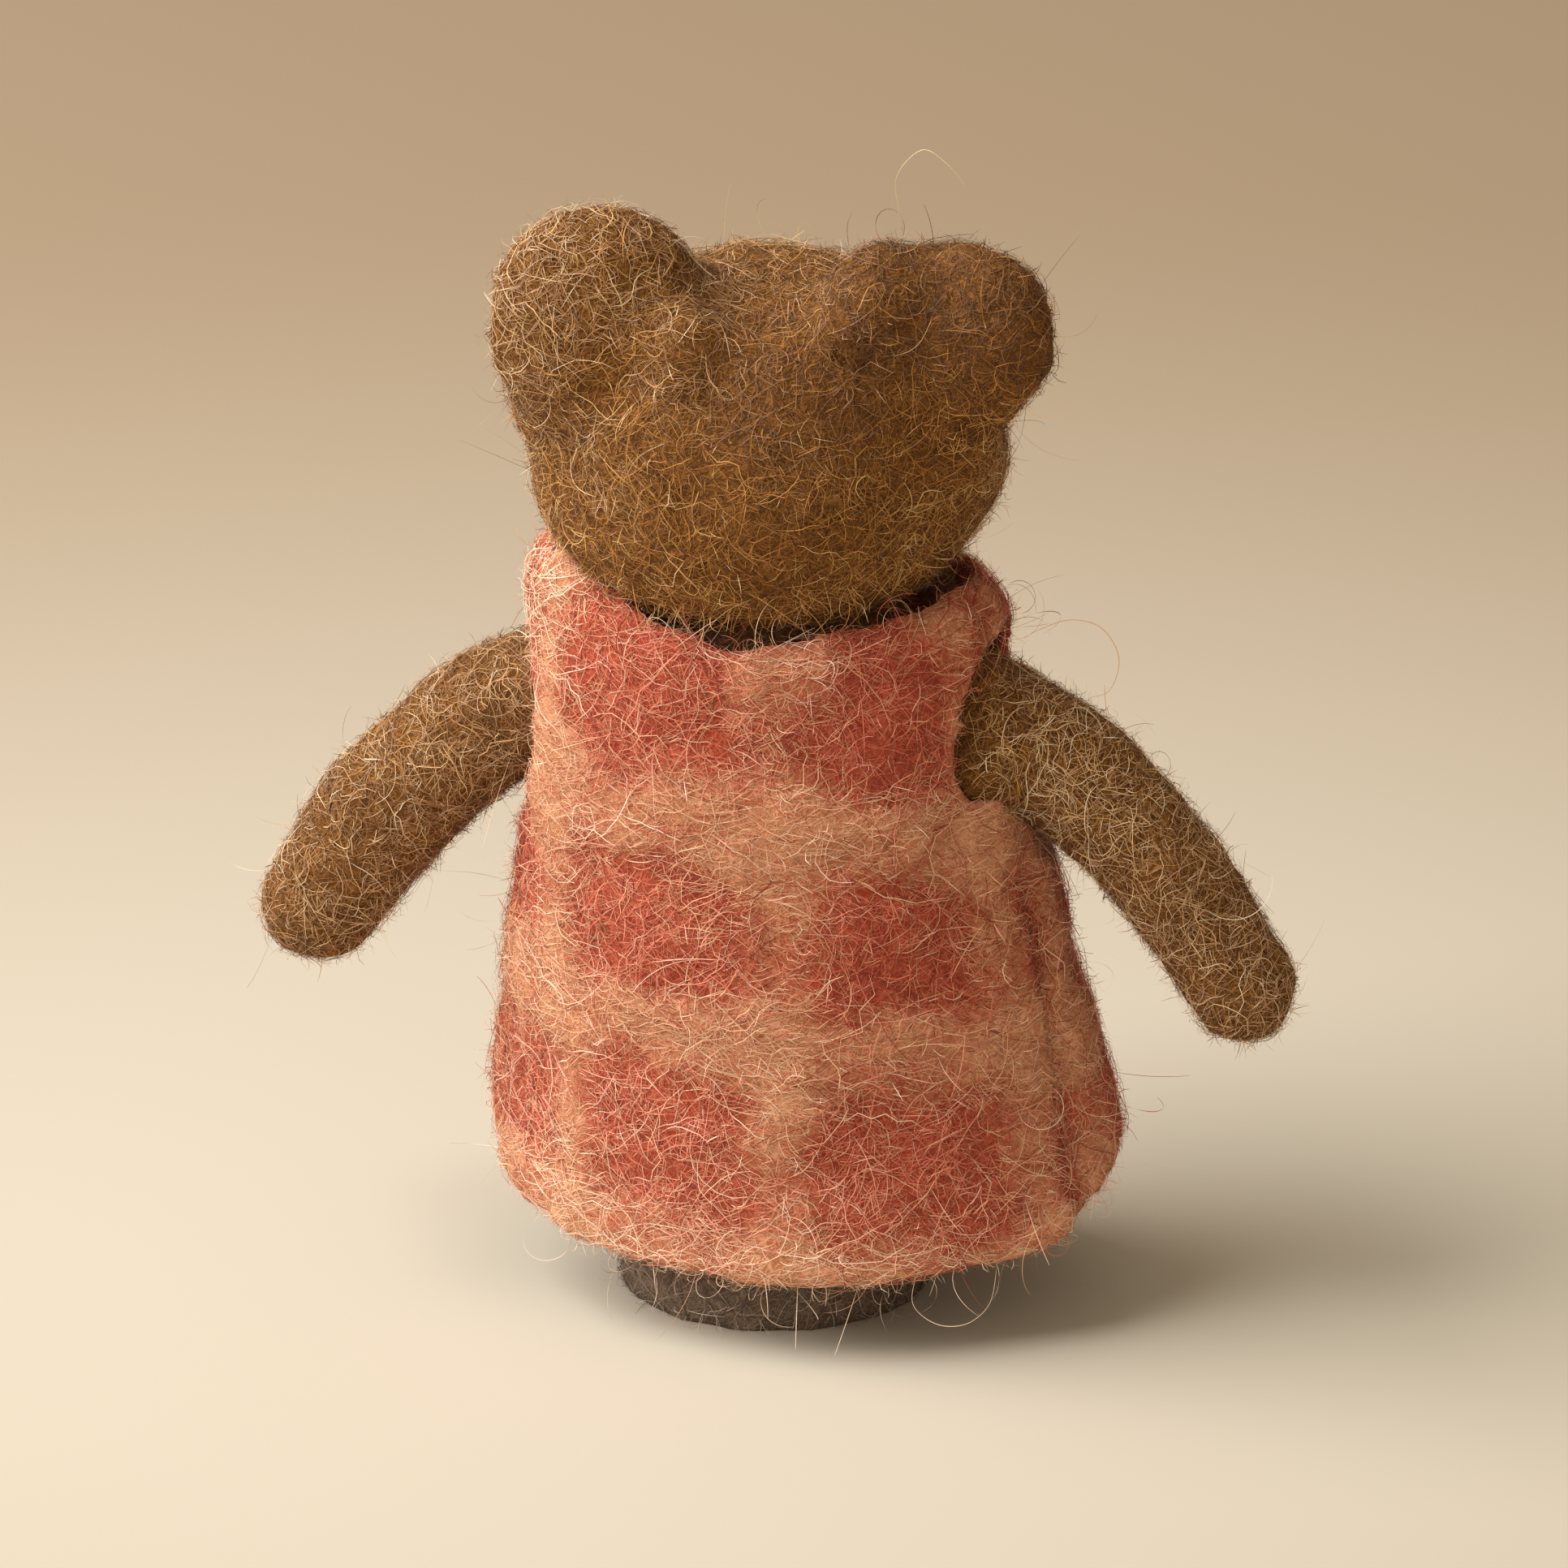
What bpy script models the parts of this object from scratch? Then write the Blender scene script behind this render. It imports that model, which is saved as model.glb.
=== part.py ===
"""A felted wool bear that sits on one finger and wears a sleeveless felt dress.

The puppet stands on the cut rim of its tube, with Z up and its face towards -Y. Its left side is
+X. Lengths are in millimetres until the meshes are made. Every piece is a skin through rings of
points, and pieces that touch on the real puppet keep the gap SEAT between them.
"""

from math import cos, pi, radians, sin, sqrt

import bmesh
import bpy
from mathutils import Euler, Vector

MM = 0.001
SEAT = 0.3

# The axis of the tube lies behind the middle of the puppet, because the muzzle sticks out in front.
AXIS_Y = 2.6

# The head, an egg lying on its side.
HEAD_HALF = Vector((19.7, 17.0, 15.2))
HEAD_Z = 71.4
HEAD_X = 0.6

# The ears, thick flaps behind the top corners of the head, their face side turned outward. They
# are felted on by eye: the left one is larger and nearer the middle, the right one droops.
EAR_AT = {"left": Vector((12.4, 8.0, 82.4)), "right": Vector((-16.6, 6.0, 82.2))}
EAR_HALF = {"left": Vector((9.2, 5.6, 10.5)), "right": Vector((8.2, 5.2, 8.8))}
EAR_TURN = 20
EAR_LEAN = {"left": 8, "right": 24}

# The face: a muzzle with a nose on its tip, and two eyes above it.
MUZZLE_HALF = Vector((8.2, 7.4, 6.2))
MUZZLE_FORWARD = 15.3
MUZZLE_DOWN = 5.0
NOSE_HALF = Vector((2.8, 1.7, 2.0))
NOSE_RISE = 2.6
EYE_R = 1.5
EYE_OUT = 6.6
EYE_UP = 2.6

# The tube for the finger, and the shoulders and neck that close it at the top.
TUBE_R = 13.0
BORE_R = 11.0
BORE_TOP = 50.0
SHOULDER_Z = 48.5
SHOULDER_HALF = Vector((16.6, 12.6))
NECK_Z = 60.5
NECK_R = 8.8
CROWN_Z = 65.0

# The arms, bent rolls that run from inside the shoulders to a round hand.
ARM_ROOT = Vector((10.0, 0.0, 50.3))
ARM_BEND = Vector((25.0, -0.4, 49.3))
ARM_REACH = 42.6
ARM_HAND_Z = {"left": 29.3, "right": 27.6}
ARM_ROOT_R = 5.7
ARM_MID_R = {"left": 6.0, "right": 5.6}
ARM_HAND_R = {"left": 5.5, "right": 5.0}

# The dress, measured over its outer face.
FELT = 2.0
CHEST_HALF = Vector((20.6, 15.3))
CHEST_Z = 55.0
HEM_HALF = Vector((28.3, 18.6))
HEM_Z = 6.1
HEM_SIDE_RISE = 3.0
HEM_CORNER_RISE = 5.2
HEM_DRIFT = -3.8
NECKLINE_BACK_Z = 57.6
NECKLINE_SIDE_Z = 62.5
NECKLINE_DROOP = 1.6  # how much lower the right shoulder hangs
NECKLINE_ROLL = Vector((4.1, 2.0))
SHOULDER_DROP = 7.0
CORNER_POINT = 0.35
ARMHOLE_HALF = Vector((9.0, 8.2, 9.9))
ARMHOLE_LEAN = 18.0  # each hole leans back at its top and follows the hanging arm below
ARMHOLE_TURN = 0.8  # the dress sits turned on the body, so the right hole lies further back
ARMHOLE_X = 20.0
ARMHOLE_Z = 47.0

HEAD_AT = Vector((HEAD_X, 0.0, HEAD_Z))


def felt(name, colour, roughness=0.95):
    """A material of matted wool."""
    material = bpy.data.materials.new(name)
    material.use_nodes = True
    shader = material.node_tree.nodes["Principled BSDF"]
    shader.inputs["Base Color"].default_value = (*colour, 1.0)
    shader.inputs["Roughness"].default_value = roughness
    shader.inputs["Metallic"].default_value = 0.0
    return material


def skin(name, loops, material):
    """An object whose faces join each loop of points to the next. A loop of one point is a pole."""
    bm = bmesh.new()
    rows = [[bm.verts.new((p + Vector((0.0, AXIS_Y, 0.0))) * MM) for p in loop] for loop in loops]
    for low, high in zip(rows, rows[1:]):
        count = max(len(low), len(high))
        for i in range(count):
            corners = [low[i % len(low)], low[(i + 1) % len(low)]]
            corners += [high[(i + 1) % len(high)], high[i % len(high)]]
            bm.faces.new(list(dict.fromkeys(corners)))
    mesh = bpy.data.meshes.new(name)
    bm.to_mesh(mesh)
    bm.free()
    mesh.shade_smooth()
    mesh.materials.append(material)
    obj = bpy.data.objects.new(name, mesh)
    bpy.context.scene.collection.objects.link(obj)
    return obj


def cutter(obj):
    """Marks an object as one that only cuts others."""
    obj.hide_render = True
    obj.display_type = "WIRE"
    return obj


def cut(obj, tool):
    """Takes the shape of a cutter out of an object."""
    modifier = obj.modifiers.new(f"less {tool.name}", "BOOLEAN")
    modifier.operation = "DIFFERENCE"
    modifier.solver = "EXACT"
    modifier.object = tool


def around(count):
    """Equal angles round a circle."""
    return [2 * pi * i / count for i in range(count)]


def ellipse(z, half_x, half_y, count):
    """A level ring of points."""
    return [Vector((half_x * cos(a), half_y * sin(a), z)) for a in around(count)]


def ball(name, at, half, material, turn=(0.0, 0.0, 0.0), sides=20, rows=12):
    """An ellipsoid with its poles up and down before it is turned."""
    spin = Euler([radians(a) for a in turn]).to_matrix()

    def placed(p):
        return at + spin @ Vector((p.x * half.x, p.y * half.y, p.z * half.z))

    loops = [[placed(Vector((0.0, 0.0, -1.0)))]]
    for i in range(1, rows):
        tilt = pi * i / rows
        loops.append([placed(p) for p in ellipse(-cos(tilt), sin(tilt), sin(tilt), sides)])
    loops.append([placed(Vector((0.0, 0.0, 1.0)))])
    return skin(name, loops, material)


def grown(half, by=SEAT):
    """The half sizes of a shape that is larger all round."""
    return half + Vector((by, by, by))


def smooth(t):
    """Eases from 0 to 1."""
    t = min(max(t, 0.0), 1.0)
    return t * t * (3.0 - 2.0 * t)


def body_half(z):
    """How far the body reaches sideways and forwards at a height below its neck."""
    if z <= SHOULDER_Z:
        t = smooth((z - 0.45 * SHOULDER_Z) / (0.5 * SHOULDER_Z))
        start, end = Vector((TUBE_R, TUBE_R)), SHOULDER_HALF
    else:
        t = smooth((z - SHOULDER_Z) / (NECK_Z - SHOULDER_Z))
        start, end = SHOULDER_HALF, Vector((NECK_R, NECK_R))
    return start.lerp(end, t)


def body_outside(sides, extra=0.0):
    """The rings of the body's outer face, from its foot to the top of the neck."""
    loops = []
    steps = 12
    for i in range(steps + 1):
        z = NECK_Z * i / steps
        half = body_half(z)
        loops.append(ellipse(z, half.x + extra, half.y + extra, sides))
    dome = CROWN_Z - NECK_Z
    for i in range(1, 4):
        tilt = 0.5 * pi * i / 4
        r = NECK_R * cos(tilt) + extra
        loops.append(ellipse(NECK_Z + (dome + extra) * sin(tilt), r, r, sides))
    loops.append([Vector((0.0, 0.0, CROWN_Z + extra))])
    return loops


def make_body(wool):
    """The felt tube that the finger goes in, closed over by the shoulders and the neck."""
    sides = 28
    straight = 0.72 * BORE_TOP
    inside = [[Vector((0.0, 0.0, BORE_TOP))]]
    for i in range(3, -1, -1):
        tilt = 0.5 * pi * i / 4
        z = straight + (BORE_TOP - straight) * sin(tilt)
        inside.append(ellipse(z, BORE_R * cos(tilt), BORE_R * cos(tilt), sides))
    inside.append(ellipse(0.0, BORE_R, BORE_R, sides))
    return skin("body", inside + body_outside(sides), wool)


def body_room(wool):
    """The body's outer shape and the gap round it, which the head and the arms leave free."""
    foot = [[Vector((0.0, 0.0, 0.0))]]
    return cutter(skin("body_room", foot + body_outside(28, SEAT), wool))


def make_head(wool, socket):
    """The head, hollowed under the chin where the neck is felted in."""
    head = ball("head", HEAD_AT, HEAD_HALF, wool, sides=32, rows=18)
    cut(head, socket)
    return head


def make_ear(name, side, wool, room):
    """An ear, whose foot follows the head."""
    turn = (0.0, side * EAR_LEAN[name], side * EAR_TURN)
    ear = ball(f"{name}_ear", EAR_AT[name], EAR_HALF[name], wool, turn)
    cut(ear, room)


def make_face(wool, black, room):
    """The muzzle, the nose on its tip, and the eyes above it."""
    at = HEAD_AT + Vector((0.0, -MUZZLE_FORWARD, -MUZZLE_DOWN))
    cut(ball("muzzle", at, MUZZLE_HALF, wool), room)
    muzzle_room = cutter(ball("muzzle_room", at, grown(MUZZLE_HALF), wool))
    forward = MUZZLE_HALF.y * sqrt(1.0 - (NOSE_RISE / MUZZLE_HALF.z) ** 2)
    nose = ball("nose", at + Vector((0.0, -forward, NOSE_RISE)), NOSE_HALF, black, sides=14, rows=8)
    cut(nose, muzzle_room)
    share = (EYE_OUT / HEAD_HALF.x) ** 2 + (EYE_UP / HEAD_HALF.z) ** 2
    for name, side in (("left_eye", 1), ("right_eye", -1)):
        spot = Vector((side * EYE_OUT, -HEAD_HALF.y * sqrt(1.0 - share), EYE_UP))
        eye = ball(name, HEAD_AT + spot, Vector((EYE_R, EYE_R, EYE_R)), black, sides=14, rows=8)
        cut(eye, room)


def make_arm(name, side, wool, room):
    """An arm: a roll along a bent centre line, from inside the shoulder to a round hand."""
    sides, steps = 14, 9
    hand_r = ARM_HAND_R[name]
    hand = Vector((ARM_REACH - hand_r, 0.0, ARM_HAND_Z[name]))

    def centre(t):
        return ARM_ROOT.lerp(ARM_BEND, t).lerp(ARM_BEND.lerp(hand, t), t)

    def radius(t):
        swell = 4.0 * t * (1.0 - t)
        ends = ARM_ROOT_R + (hand_r - ARM_ROOT_R) * t
        return ends + (ARM_MID_R[name] - 0.5 * (ARM_ROOT_R + hand_r)) * swell

    def ring(t, r, ahead=0.0):
        along = (centre(t + 0.01) - centre(t - 0.01)).normalized()
        across = Vector((0.0, 1.0, 0.0))
        up = along.cross(across).normalized()
        at = centre(t) + along * ahead
        points = [at + (across * cos(a) + up * sin(a)) * r for a in around(sides)]
        return points if r > 0.0 else [at]

    loops = [ring(0.0, 0.0, -ARM_ROOT_R)]
    loops += [ring(0.0, ARM_ROOT_R * 0.8, -0.6 * ARM_ROOT_R)]
    loops += [ring(i / steps, radius(i / steps)) for i in range(steps + 1)]
    for i in (1, 2, 3):
        tilt = 0.5 * pi * i / 4
        loops.append(ring(1.0, hand_r * cos(tilt), hand_r * sin(tilt)))
    loops.append(ring(1.0, 0.0, hand_r))
    if side < 0:
        loops = [[Vector((-p.x, p.y, p.z)) for p in reversed(loop)] for loop in loops]
    arm = skin(f"{name}_arm", loops, wool)
    cut(arm, room)
    return arm


def dress_point(angle, t):
    """A point of the dress's outer face: t runs from 0 at the hem to 1 at the neckline."""
    side = abs(cos(angle))
    low = HEM_Z + HEM_SIDE_RISE * side**2 + HEM_CORNER_RISE * side**10
    high = NECKLINE_BACK_Z + (NECKLINE_SIDE_Z - NECKLINE_BACK_Z) * side
    high -= NECKLINE_DROOP * smooth(-cos(angle))
    z = low + (high - low) * t
    flare = max(0.0, CHEST_Z - z) / (CHEST_Z - HEM_Z)
    half_x = CHEST_HALF.x + (HEM_HALF.x - CHEST_HALF.x) * flare**1.6
    half_y = CHEST_HALF.y + (HEM_HALF.y - CHEST_HALF.y) * flare**1.2
    point = CORNER_POINT * smooth((flare - 0.3) / 0.6)
    across = sin(angle) * abs(sin(angle)) ** point
    x, y = half_x * cos(angle), half_y * across
    roll = NECKLINE_ROLL.y + (NECKLINE_ROLL.x - NECKLINE_ROLL.y) * side
    near_top = min(max(1.0 - (high - z) / SHOULDER_DROP, 0.0), 1.0)
    keep = 1.0 - roll * (1.0 - sqrt(1.0 - near_top**2)) / sqrt(x * x + y * y)
    return Vector((HEAD_X + HEM_DRIFT * flare + x * keep, y * keep, z))


def make_dress(cloth):
    """The dress: one felt wall with a neckline, two armholes and a hem that is high at the sides."""
    sides = 48
    heights = [i / 11 for i in range(10)] + [0.95, 0.985, 1.0]
    loops = [[dress_point(a, t) for a in around(sides)] for t in heights]
    dress = skin("dress", loops, cloth)
    wall = dress.modifiers.new("felt wall", "SOLIDIFY")
    wall.thickness = FELT * MM
    wall.offset = -1.0
    wall.use_even_offset = True
    for name, side in (("left_armhole", 1), ("right_armhole", -1)):
        at = Vector((HEAD_X + side * ARMHOLE_X, -side * ARMHOLE_TURN, ARMHOLE_Z))
        lean = (-ARMHOLE_LEAN, 0.0, 0.0)
        cut(dress, cutter(ball(name, at, ARMHOLE_HALF, cloth, lean, sides=24, rows=14)))
    return dress


for old in list(bpy.data.objects):
    bpy.data.objects.remove(old, do_unlink=True)

brown = felt("brown wool", (0.245, 0.125, 0.052))
light_brown = felt("light brown wool", (0.34, 0.19, 0.09))
coral = felt("coral plaid felt", (0.60, 0.19, 0.12))
dark = felt("dark wool", (0.025, 0.015, 0.012), 0.85)

make_body(brown)
shoulders = body_room(brown)
make_head(brown, shoulders)
head_room = cutter(ball("head_room", HEAD_AT, grown(HEAD_HALF), brown, sides=32, rows=18))
make_ear("left", 1, brown, head_room)
make_ear("right", -1, brown, head_room)
make_face(light_brown, dark, head_room)
make_arm("left", 1, brown, shoulders)
make_arm("right", -1, brown, shoulders)
make_dress(coral)
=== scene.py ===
# %% [markdown]
# A felted wool finger puppet
#
# This file dresses the plain solids of a small puppet: a brown bear made of needle-felted wool, in a
# sleeveless dress of wet-felted wool with a plaid laid into it. Felt has no threads and no weave. It
# is a mat of curled fibres, and that mat is what the eye reads, so most of this file grows fibres.
# Each step says what the real thing is, how it could be made, and why this way was chosen.

# %% Load the solids
import math

import bmesh
import bpy
import numpy as np
from mathutils import Matrix, Vector, noise
from mathutils.bvhtree import BVHTree


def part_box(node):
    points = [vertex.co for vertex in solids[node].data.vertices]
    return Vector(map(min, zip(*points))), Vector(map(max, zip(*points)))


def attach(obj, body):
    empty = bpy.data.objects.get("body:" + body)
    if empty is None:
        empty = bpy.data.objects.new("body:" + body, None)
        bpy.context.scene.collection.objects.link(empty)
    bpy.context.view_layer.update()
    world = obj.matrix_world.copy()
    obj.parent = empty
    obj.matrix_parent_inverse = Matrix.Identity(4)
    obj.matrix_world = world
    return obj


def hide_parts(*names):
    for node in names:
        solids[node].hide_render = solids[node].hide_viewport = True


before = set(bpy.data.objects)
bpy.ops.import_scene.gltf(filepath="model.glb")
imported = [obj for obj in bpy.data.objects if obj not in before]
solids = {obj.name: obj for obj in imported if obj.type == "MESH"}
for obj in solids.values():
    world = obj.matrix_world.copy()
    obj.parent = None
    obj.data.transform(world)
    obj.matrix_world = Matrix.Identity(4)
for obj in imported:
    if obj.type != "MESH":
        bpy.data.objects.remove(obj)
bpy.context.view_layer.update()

MM = 0.001
body_low, body_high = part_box("body")
AXIS = Vector(((body_low.x + body_high.x) / 2, (body_low.y + body_high.y) / 2, 0.0))
print("solids:", sorted(solids))
print("the tube's axis stands at y =", round(AXIS.y / MM, 2), "mm")

# %% [markdown]
# Three small helpers come first. Colours are written as the hex values that a paint shop or a picture
# would give, and one function turns them into the linear numbers that light is reckoned in. Another
# adds a shader node with its settings and what feeds it, so that a material reads as a list of steps,
# and the third starts a new material.


# %% Helpers for colours and nodes
def linear(code):
    """The linear RGBA colour of an sRGB hex code."""
    parts = [int(code[i : i + 2], 16) / 255 for i in (1, 3, 5)]
    return (*[p / 12.92 if p <= 0.04045 else ((p + 0.055) / 1.055) ** 2.4 for p in parts], 1.0)


def add(tree, kind, feeds=None, **settings):
    """Adds a node. Settings are its own options; feeds are its sockets' values or sources."""
    node = tree.nodes.new(kind)
    for name, value in settings.items():
        setattr(node, name, value)
    for socket, value in (feeds or {}).items():
        if isinstance(value, bpy.types.NodeSocket):
            tree.links.new(value, node.inputs[socket])
        else:
            node.inputs[socket].default_value = value
    return node


def blank_material(name):
    """A material with only its output, and its node tree."""
    material = bpy.data.materials.new(name)
    material.use_nodes = True
    material.node_tree.nodes.clear()
    return material, material.node_tree


# %% [markdown]
# The bear's head and ears are balls of wool stabbed with a barbed needle until they mat together.
# On the real puppet no seam shows between them, only soft valleys. Modelling each ball would leave
# sharp creases. So the solids are swollen until they overlap, wrapped in one voxel skin, relaxed, and
# shrunk back, which leaves the valleys filled. The skin ends a little inside the solid, because the
# loose fibres that are grown on it later take up the rest. Slow noise then dents it, because hand
# felting is never quite round. An ear is joined to a head by felting loose wisps over the join,
# so five balls of wool go into the skin where the photograph shows an ear running into the head.

# %% Wrap solids in one felted skin
FUZZ = 0.55 * MM


def own_mesh(name, mesh):
    """A new object for a mesh, shown in the scene."""
    piece = bpy.data.objects.new(name, mesh)
    bpy.context.scene.collection.objects.link(piece)
    return piece


def settled(piece):
    """Applies an object's modifiers to its mesh."""
    graph = bpy.context.evaluated_depsgraph_get()
    mesh = bpy.data.meshes.new_from_object(piece.evaluated_get(graph))
    piece.modifiers.clear()
    piece.data = mesh
    return piece


def wrapped(name, nodes, voxel, relax, swell, wisps=()):
    """One skin round some solids and wisps of wool, swollen so that the valleys between them close."""
    shape = bmesh.new()
    for node in nodes:
        shape.from_mesh(solids[node].data)
    for place, radius in wisps:
        at = Matrix.Translation(AXIS + Vector(place) * MM)
        bmesh.ops.create_icosphere(shape, subdivisions=3, radius=radius * MM, matrix=at)
    bmesh.ops.remove_doubles(shape, verts=shape.verts, dist=1e-6)
    shape.normal_update()
    for vertex in shape.verts:
        vertex.co += vertex.normal * swell
    mesh = bpy.data.meshes.new(name)
    shape.to_mesh(mesh)
    shape.free()
    piece = own_mesh(name, mesh)
    remesh = piece.modifiers.new("voxels", "REMESH")
    remesh.mode = "VOXEL"
    remesh.voxel_size = voxel
    smooth = piece.modifiers.new("relax", "SMOOTH")
    smooth.factor = 0.5
    smooth.iterations = relax
    return settled(piece)


def points_of(piece):
    """A mesh's points as rows of numbers."""
    flat = np.empty(len(piece.data.vertices) * 3)
    piece.data.vertices.foreach_get("co", flat)
    return flat.reshape(-1, 3)


def normals_of(piece):
    """A mesh's normals as rows of numbers."""
    flat = np.empty(len(piece.data.vertices) * 3)
    piece.data.vertex_normals.foreach_get("vector", flat)
    return flat.reshape(-1, 3)


def move_points(piece, points):
    """Puts a mesh's points in new places."""
    piece.data.vertices.foreach_set("co", points.reshape(-1))
    piece.data.update()
    piece.data.shade_smooth()


def lumps(points, size, seed):
    """Slow noise from about -1 to 1 at each point, for lumps of one size."""
    shift = Vector((seed, 2 * seed, -seed))
    return np.array([noise.noise(Vector(p) / size + shift) for p in points]) * 2.0


def near(spots, place, reach):
    """1 at a place given in millimetres from the tube's foot, falling to 0 at some distance."""
    gap = np.linalg.norm(spots - np.array(AXIS) - np.array(place) * MM, axis=1)
    return np.exp(-((gap / (reach * MM)) ** 2))


def felted(name, nodes, voxel, relax, swell, seed, swells=0.3 * MM, dents=0.12 * MM, wisps=(), thin=FUZZ):
    """A hand-felted skin round some solids, with slow swells and small dents of given heights."""
    piece = wrapped(name, nodes, voxel, relax, swell, wisps)
    points = points_of(piece)
    push = swells * lumps(points, 9 * MM, seed) + dents * lumps(points, 2.6 * MM, seed + 7)
    move_points(piece, points + normals_of(piece) * (push - swell - thin)[:, None])
    print(name, "has", len(piece.data.polygons), "faces")
    return piece


# %% [markdown]
# Places on the bear are written in millimetres from the middle of the tube's foot, with x to the
# puppet's left, y to its back and z up. A ball of wool is such a place and a radius. The jaw is made
# a little fuller, the right cheek flatter and the right ear's lobe slimmer, as the photograph shows
# them, and the arms get two balls each where they were felted on at the shoulder. Eyes and nose are
# small hard balls of black-brown wool, so they are wrapped with finer voxels. The tube's foot is
# pressed flat, because the puppet stands on it.

# %% The bear's skins
OUTER_LEFT_JOIN = ((14.4, 4.5, 75.2), 6.6)
INNER_LEFT_JOIN = ((5.0, 10.4, 81.6), 4.1)
INNER_RIGHT_JOIN = ((-10.0, 7.2, 85.4), 5.2)
OUTER_RIGHT_JOIN = ((-18.2, 5.0, 77.0), 4.9)
CHEEK_JOIN = ((-15.8, 4.5, 72.0), 5.3)
JOINS = (OUTER_LEFT_JOIN, INNER_LEFT_JOIN, INNER_RIGHT_JOIN, OUTER_RIGHT_JOIN, CHEEK_JOIN)
HEAD_SETTLES = 0.3 * MM
FULL_JAW = 0.8 * MM
NOSE_SINKS = 0.35 * MM
JAW_TOP = 72 * MM
JAW_DEPTH = 7 * MM
FLAT_CHEEK = 2.8 * MM
RIGHT_CHEEK = (-18.0, 8.0, 66.0)
SLIM_LOBE = 1.6 * MM
RIGHT_LOBE = (-21.8, 4.0, 75.6)
head = felted("bear_head", ["head", "left_ear", "right_ear"], 0.8 * MM, 8, 1.5 * MM, 3, wisps=JOINS)
places = points_of(head)
low = np.clip((JAW_TOP - places[:, 2]) / JAW_DEPTH, 0, 1)
fuller = FULL_JAW * low - FLAT_CHEEK * near(places, RIGHT_CHEEK, 9)
fuller = fuller - SLIM_LOBE * near(places, RIGHT_LOBE, 4)
move_points(head, places + normals_of(head) * fuller[:, None] - np.array([0.0, 0.0, HEAD_SETTLES]))
muzzle = felted("bear_muzzle", ["muzzle"], 0.7 * MM, 3, 0.4 * MM, 5, 0.15 * MM, thin=0.2 * MM)
LEFT_SHOULDER = (((17.0, -1.4, 46.6), 5.4), ((15.4, -1.0, 51.0), 4.8))
RIGHT_SHOULDER = (((-17.0, 3.0, 46.6), 5.4), ((-15.4, 1.6, 51.0), 4.6))
ARM_LUMPS = 0.25 * MM
FLAT_FOOT = 1.0 * MM
left_arm = felted("left_arm_wool", ["left_arm"], 0.8 * MM, 3, 0.3 * MM, 11, ARM_LUMPS, wisps=LEFT_SHOULDER)
right_arm = felted(
    "right_arm_wool", ["right_arm"], 0.8 * MM, 3, 0.3 * MM, 17, ARM_LUMPS, wisps=RIGHT_SHOULDER
)
tube = felted("finger_tube", ["body"], 1.1 * MM, 2, 0.0, 23, 0.1 * MM, 0.05 * MM)
standing = points_of(tube)
standing[:, 2] = np.where(standing[:, 2] < FLAT_FOOT, 0.0, standing[:, 2])
move_points(tube, standing)
nose = felted("nose_felt", ["nose"], 0.2 * MM, 4, 0.45 * MM, 29, 0.05 * MM, 0.05 * MM, thin=0.0)
EYE_DENT = 0.03 * MM
EYE_SINK = 0.1 * MM
left_eye, right_eye = (
    felted(f"{node}_felt", [node], 0.15 * MM, 8, 0.5 * MM, seed, EYE_DENT, EYE_DENT, thin=EYE_SINK)
    for node, seed in (("left_eye", 31), ("right_eye", 37))
)
move_points(nose, points_of(nose) + np.array([0.0, NOSE_SINKS, 0.0]))

# %% [markdown]
# The dress is one piece of wet felt: wool is laid in layers over a flat template, wetted with soap
# and rubbed until it shrinks. Its plaid is not printed or woven. Wisps of peach wool are laid across
# coral wool in bands and stripes before the rubbing, so the edges of the plaid are feathered and the
# laid wool stands a little proud. One function says how much peach wool lies at a point of the
# dress, and everything else asks it: the skin's thickness, its colour and the tones of its fibres.
# A stripe is given by its angle round the dress at the hem and at the neck, because it leans.

# %% The plaid, in real sizes
DRESS_LOW, DRESS_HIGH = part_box("dress")
STRIPE_ANGLES = ((54, 33), (97, 96), (150, 145), (168, 169), (229, 229), (288, 288), (349, 349))
STRIPE_HALF = 2.6 * MM
BAND_SPACING = 17.9 * MM
BAND_START = 7.8 * MM
BAND_TILT = 0.08
LAST_BAND = 52.5 * MM
BAND_HALF = 3.5 * MM
STRIPE_TOP = 55 * MM
STRIPE_WOOL = 0.8
BAND_WOOL = 0.85
WOBBLE = 0.9 * MM
FEATHER = 2.1 * MM
PALE_SIDE = (26.0, 2.0, 20.0)
PALE_SIDE_WOOL = 0.4
HEM_BAND = 9.5 * MM
DRESS_ROUND = (DRESS_HIGH.x - DRESS_LOW.x) / (DRESS_HIGH.y - DRESS_LOW.y)
dress_middle = (DRESS_LOW + DRESS_HIGH) / 2


def round_the_dress(points):
    """The angle and the radius of each point round the dress, as if it were round and not flat."""
    across = points[:, 0] - dress_middle.x * 0.5
    deep = (points[:, 1] - AXIS.y) * DRESS_ROUND
    return np.arctan2(deep, across), np.hypot(across, deep)


def feathered(off, half):
    """1 inside the half width of a stripe, fading to 0 over its frayed edge."""
    return 1 / (1 + np.exp((off - half) / (FEATHER / 3)))


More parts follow.
